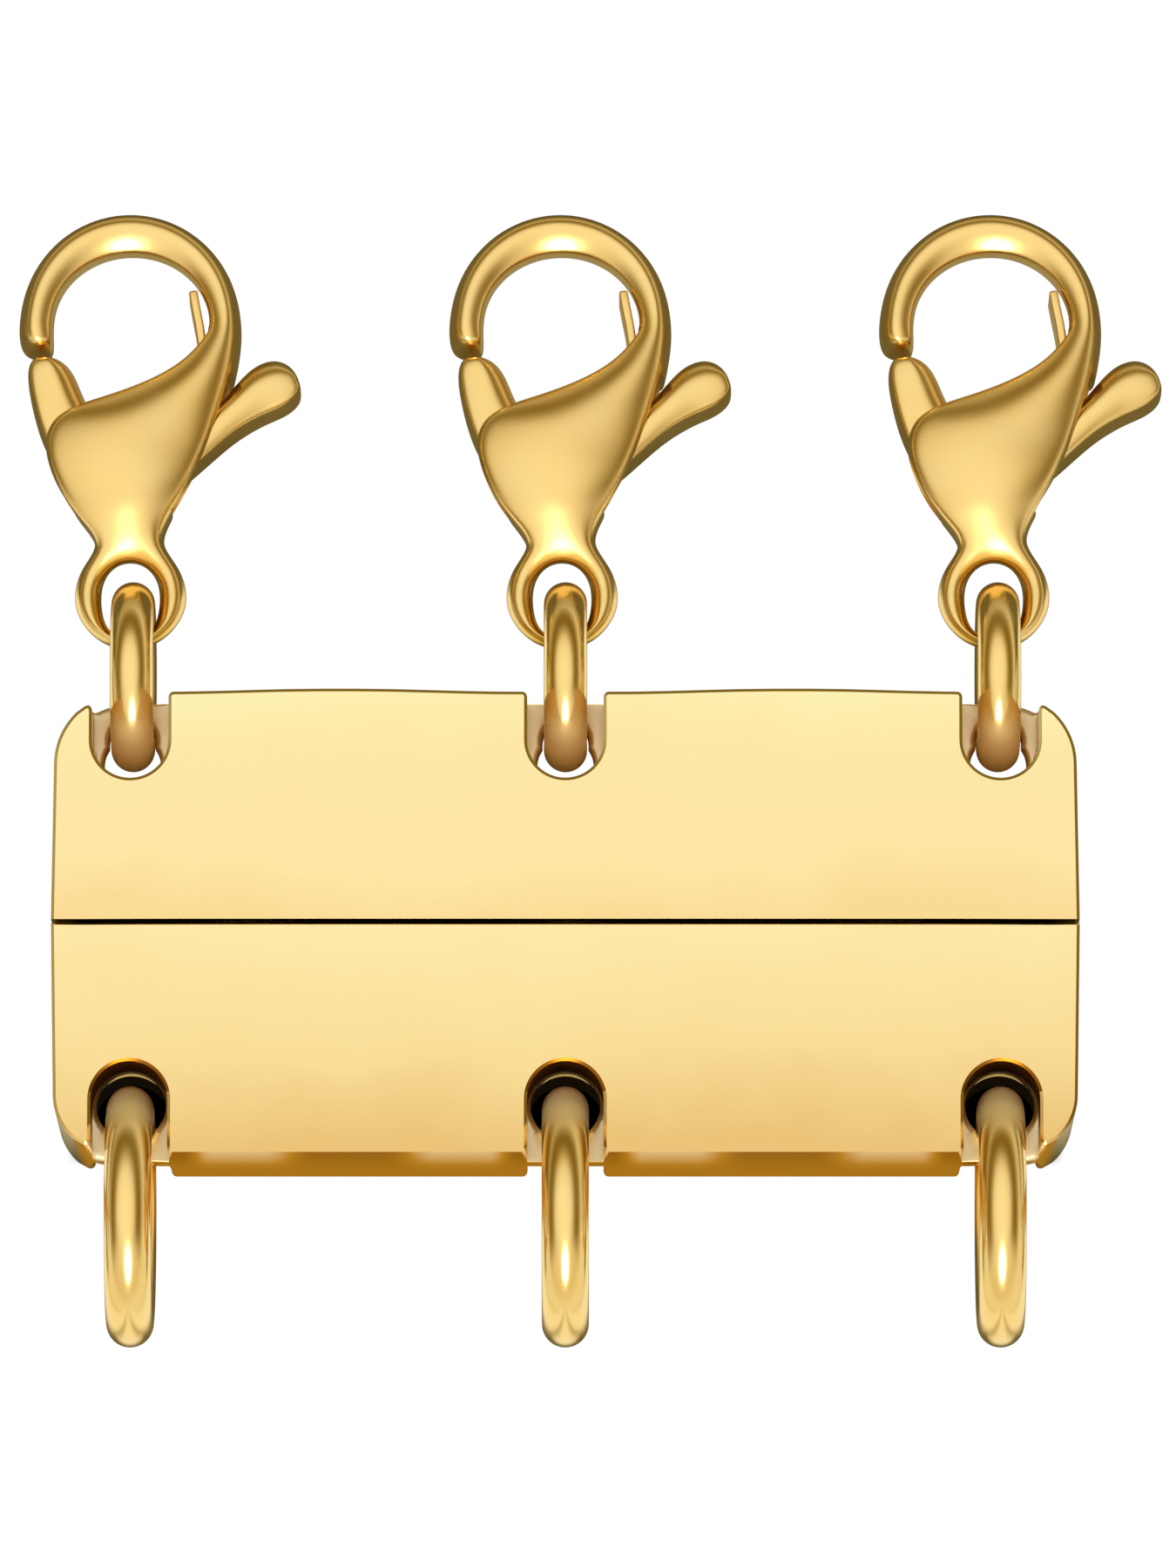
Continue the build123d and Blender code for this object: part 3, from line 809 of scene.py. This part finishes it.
def claw_eye():
    """The round eye, open where the neck joins it."""
    bpy.ops.object.select_all(action="DESELECT")
    bpy.ops.mesh.primitive_circle_add(vertices=8, radius=1)
    eye = bpy.context.object
    edit(eye)
    bpy.ops.mesh.select_all(action="SELECT")
    bpy.ops.transform.rotate(value=radians(22.5), orient_axis="Z", center_override=(0, 0, 0))
    wall = (eye_outer_radius - eye_hole_radius) / 2
    bpy.ops.transform.resize(value=(wall / section_shrink, eye_half_thickness / section_shrink, 1),
                             center_override=(0, 0, 0))
    bpy.ops.transform.rotate(value=radians(90), orient_axis="X", center_override=(0, 0, 0))
    bpy.ops.transform.translate(value=((eye_hole_radius + wall) / round_shrink, 0, 0))
    bpy.ops.mesh.spin(steps=12, angle=2 * pi, center=(0, 0, 0), axis=(0, 0, 1))
    bpy.ops.mesh.select_all(action="SELECT")
    bpy.ops.mesh.remove_doubles(threshold=0.001)
    bpy.ops.mesh.normals_make_consistent(inside=False)
    bpy.ops.transform.translate(value=(0, eye_rise, 0))

    def from_centre(v):
        return hypot(v.co.x, v.co.y - eye_rise)
    # The hole is longer than wide, and drafted to the back. The front rises to the neck.
    pick(eye, "verts", lambda v: v.co.y < eye_rise - 0.1 and from_centre(v) < eye_mid_wall)
    bpy.ops.transform.translate(value=(0, -eye_hole_longer, 0))
    pick(eye, "verts", lambda v: v.co.z < -0.05 and v.co.y > eye_rise + 0.1
         and from_centre(v) < eye_mid_wall)
    bpy.ops.transform.translate(value=(0, eye_draft, 0))
    pick(eye, "verts", lambda v: v.co.z < -0.05 and v.co.y < eye_rise - 0.1
         and from_centre(v) > eye_mid_wall)
    bpy.ops.transform.translate(value=(0, eye_draft, 0))
    for least, most, rise in eye_bands:
        pick(eye, "verts", lambda v: v.co.z > 0.1 and v.co.y - eye_rise > 0.6 * from_centre(v)
             and least < from_centre(v) < most)
        bpy.ops.transform.translate(value=(0, 0, rise))
    pick(eye, "faces", lambda f: f.calc_center_median().y > 0.9 + eye_rise
         and abs(f.calc_center_median().x) < 0.4 and f.normal.y > 0.1)
    bpy.ops.mesh.delete(type="FACE")
    close()
    return eye


def slot_cutter():
    """The slot between the cheeks, open at the gate, along the top edge and at the tab."""
    corners = [(-3.9, 2.0), (3.9, 2.0), (3.9, 5.15), (2.1, 5.15), (1.85, 5.25), (1.8, 6.2), (1.6, 6.35),
               (0.5, 6.0), (-1.2, 5.3), (-3.9, 5.3)]
    bpy.ops.object.select_all(action="DESELECT")
    bpy.ops.mesh.primitive_circle_add(vertices=len(corners), radius=1, fill_type="NGON",
                                      location=(0, 0, -slot_half_thickness))
    cutter = bpy.context.object
    bpy.ops.object.transform_apply(location=True, rotation=False, scale=False)
    for point, corner in zip(cutter.data.vertices, corners):
        point.co.x, point.co.y = corner
    edit(cutter)
    bpy.ops.mesh.select_all(action="SELECT")
    bpy.ops.mesh.extrude_region_move(TRANSFORM_OT_translate={"value": (0, 0, 2 * slot_half_thickness)})
    bpy.ops.mesh.select_all(action="SELECT")
    bpy.ops.mesh.normals_make_consistent(inside=False)
    close()
    return cutter


def claw_casting():
    """The claw's body, drawn flat: its eye at the origin, its hook towards +Y. It runs from the hook's
    tip down to the neck, and is joined to the eye and slotted for its lever."""
    stations = hook_stations + body_stations
    casting = sweep("claw_casting", stations)
    edit(casting)
    end = body_stations[-1][0][1]
    pick(casting, "faces", lambda f: len(f.verts) == 6 and abs(f.calc_center_median().y - end) < 0.02)
    bpy.ops.mesh.delete(type="ONLY_FACE")
    close()
    break_rims(casting, stations, left_width=inner_rim, right_width=outer_rim)
    edit(casting)
    # Casting draft: the hook's inside opens to the back, and the back cheek is the smaller one
    inner_middle = hook_inner_radius + inner_rim / 2
    outer_middle = hook_outer_radius - outer_rim / 2
    for angle in range(hook_step, 180, hook_step):
        at = round_point(hook_inner_centre, inner_middle, angle, hook_inner_squash)
        pick(casting, "verts", lambda v: v.co.z < -off_middle
             and hypot(v.co.x - at[0], v.co.y - at[1]) < 0.1)
        draft = hook_draft * sin(radians(angle))
        bpy.ops.transform.translate(value=(draft * cos(radians(angle)), draft * sin(radians(angle)), 0))
    # The front of the hook's top leans inward
    for angle in range(2 * hook_step, 180 - hook_step, hook_step):
        for centre, radius, squash, reach, rise in (
                (hook_inner_centre, inner_middle, hook_inner_squash, 0.1, -0.12),
                (hook_outer_centre, outer_middle, 1, 0.2, 0.08)):
            at = round_point(centre, radius, angle, squash)
            pick(casting, "verts", lambda v: v.co.z > off_middle
                 and hypot(v.co.x - at[0], v.co.y - at[1]) < reach)
            bpy.ops.transform.translate(value=(0, 0, rise * sin(radians(angle)) ** 2))
    for low, high, rise in back_bands:
        pick(casting, "verts", lambda v: v.co.z < -off_middle and low < v.co.y <= high)
        bpy.ops.transform.translate(value=(0, rise, 0))
    close()
    eye = claw_eye()
    bpy.ops.object.select_all(action="DESELECT")
    eye.select_set(True)
    casting.select_set(True)
    bpy.context.view_layer.objects.active = casting
    bpy.ops.object.join()
    edit(casting)
    pick(casting, "edges", lambda e: e.is_boundary)
    bpy.ops.mesh.bridge_edge_loops()
    bpy.ops.mesh.select_all(action="SELECT")
    bpy.ops.mesh.normals_make_consistent(inside=False)
    close()
    apply_modifier(casting, "SUBSURF", levels=3, render_levels=3)
    cut_away(casting, slot_cutter())
    return casting


def laid(piece):
    """Three copies of a claw piece, each with its own mesh, laid in their places. The piece goes."""
    copies = []
    for number, x in enumerate(strands, start=1):
        copy = piece.copy()
        copy.data = piece.data.copy()
        bpy.context.collection.objects.link(copy)
        copy.name = f"{piece.name}_{number}"
        copy.scale = claw_stretch
        copy.rotation_euler = (-claw_tilt, 0, 0)
        copy.location = (x + claw_sideways, claw_eye_y, claw_eye_z)
        bpy.ops.object.select_all(action="DESELECT")
        bpy.context.view_layer.objects.active = copy
        copy.select_set(True)
        bpy.ops.object.transform_apply(location=True, rotation=True, scale=True)
        to_metres(copy)
        copies.append(copy)
    bpy.data.objects.remove(piece)
    return copies


# Tumbled castings shine softly, with broad highlights
cast_gold = plated("gold electroplate on a cast claw, tumbled bright", [(0, "#FFDA88"), (1, "#FFDF92")],
                   roughness=0.24, haze=0.05, haze_size=1.5, line_size=0.6, line_depth=0.0006)
casting = claw_casting()
smooth(casting, 40)
casting.data.materials.append(cast_gold)
for number, piece in enumerate(laid(casting), start=1):
    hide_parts(f"claw_{number}")
    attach(piece, "upper_half")

# The lever is a second small casting, plated and tumbled with the first: the gate arm that closes
# the hook, a hub and the thumb tab. It sits in the slot between the cheeks and turns on the pin.

# From the gate's tip, past the hub, to the thumb tab's end
gate_stations = [((-2.2, 5.64), (-1.74, 5.64), 0.6, 0.02), ((-2.38, 5.43), (-1.45, 5.49), 0.66, 0.1),
                 ((-2.38, 5.05), (-1.24, 5.18), 0.66, 0.1), ((-2.2, 4.2), (-1.0, 4.5), 0.66, 0.1),
                 ((-1.9, 3.4), (-0.5, 3.9), 0.66, 0.1), ((-1.3, 2.68), (-0.05, 3.7), 0.66, 0.1),
                 ((-0.1, 2.12), (0.35, 3.66), 0.66, 0.1), ((0.95, 2.62), (0.8, 3.74), 0.66, 0.1),
                 ((1.7, 3.28), (1.3, 3.97), 0.66, 0.1), ((2.3, 3.82), (1.9, 4.5), 0.64, 0.16),
                 ((2.75, 4.1), (2.32, 4.98), 0.62, 0.22), ((3.1, 4.28), (2.72, 5.45), 0.6, 0.24),
                 ((3.52, 4.44), (3.22, 5.65), 0.6, 0.22), ((3.84, 4.72), (3.58, 5.5), 0.66, 0.03),
                 ((3.87, 4.95), (3.74, 5.27), 0.56, 0.01)]


def claw_lever():
    """The gate arm, the hub and the thumb tab, drawn flat like the casting."""
    lever = sweep("claw_lever", gate_stations)
    break_rims(lever, gate_stations, left_width=0.1, right_width=0.25)
    apply_modifier(lever, "SUBSURF", levels=3, render_levels=3)
    return lever


lever = claw_lever()
smooth(lever, 40)
lever.data.materials.append(cast_gold)
for number, piece in enumerate(laid(lever), start=1):
    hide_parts(f"lever_{number}")
    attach(piece, f"claw_lever_{number}")

# The pin is a length of drawn steel wire, left bare, with its ends in blind seats in the cheeks.
# Drawing leaves it a dull grey, a little lighter in places.

pin_steel = plated("drawn steel pin", [(0, "#8F8C86"), (1, "#A09D96")],
                   roughness=0.25, haze=0.1, haze_size=0.4, line_size=0.1, line_depth=0.001)
for number in range(1, 4):
    finish_node(f"pivot_{number}", pin_steel)

# The leaf spring is a bent strip of hard steel, plated with the claw. Its foot sits in the slot over
# the lever's tab, and its free end shows inside the hook.

spring_width = 1.2
spring_thickness = 0.2
spring_edge = 0.05


def leaf_spring():
    """The bent strip, drawn flat like the casting, from its free end down into the slot."""
    path = [(1.387, 7.1), (1.46, 6.7), (1.54, 6.3), (1.6, 5.9), (1.64, 5.5), (1.645, 5.2), (1.59, 4.85),
            (1.5, 4.5)]
    bpy.ops.object.select_all(action="DESELECT")
    bpy.ops.mesh.primitive_plane_add(size=1)
    spring = bpy.context.object
    spring.name = "claw_spring"
    edit(spring)
    bpy.ops.mesh.select_all(action="SELECT")
    bpy.ops.mesh.delete(type="ONLY_FACE")
    pick(spring, "verts", lambda v: v.co.y > 0)
    bpy.ops.mesh.delete(type="VERT")
    bpy.ops.mesh.select_all(action="SELECT")
    bpy.ops.transform.rotate(value=radians(90), orient_axis="Y", center_override=(0, 0, 0))
    bpy.ops.transform.resize(value=(1, 1, spring_width), center_override=(0, 0, 0))
    bpy.ops.transform.translate(value=(path[0][0], path[0][1] + 0.5, 0))
    for old, new in zip(path, path[1:]):
        bpy.ops.mesh.extrude_region_move(
            TRANSFORM_OT_translate={"value": (new[0] - old[0], new[1] - old[1], 0)})
    close()
    apply_modifier(spring, "SOLIDIFY", thickness=spring_thickness, offset=0)
    apply_modifier(spring, "BEVEL", width=spring_edge, segments=3, limit_method="ANGLE",
                   angle_limit=radians(50))
    return spring


spring = leaf_spring()
smooth(spring, 40)
spring.data.materials.append(cast_gold)
for number, piece in enumerate(laid(spring), start=1):
    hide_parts(f"spring_{number}")
    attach(piece, "upper_half")
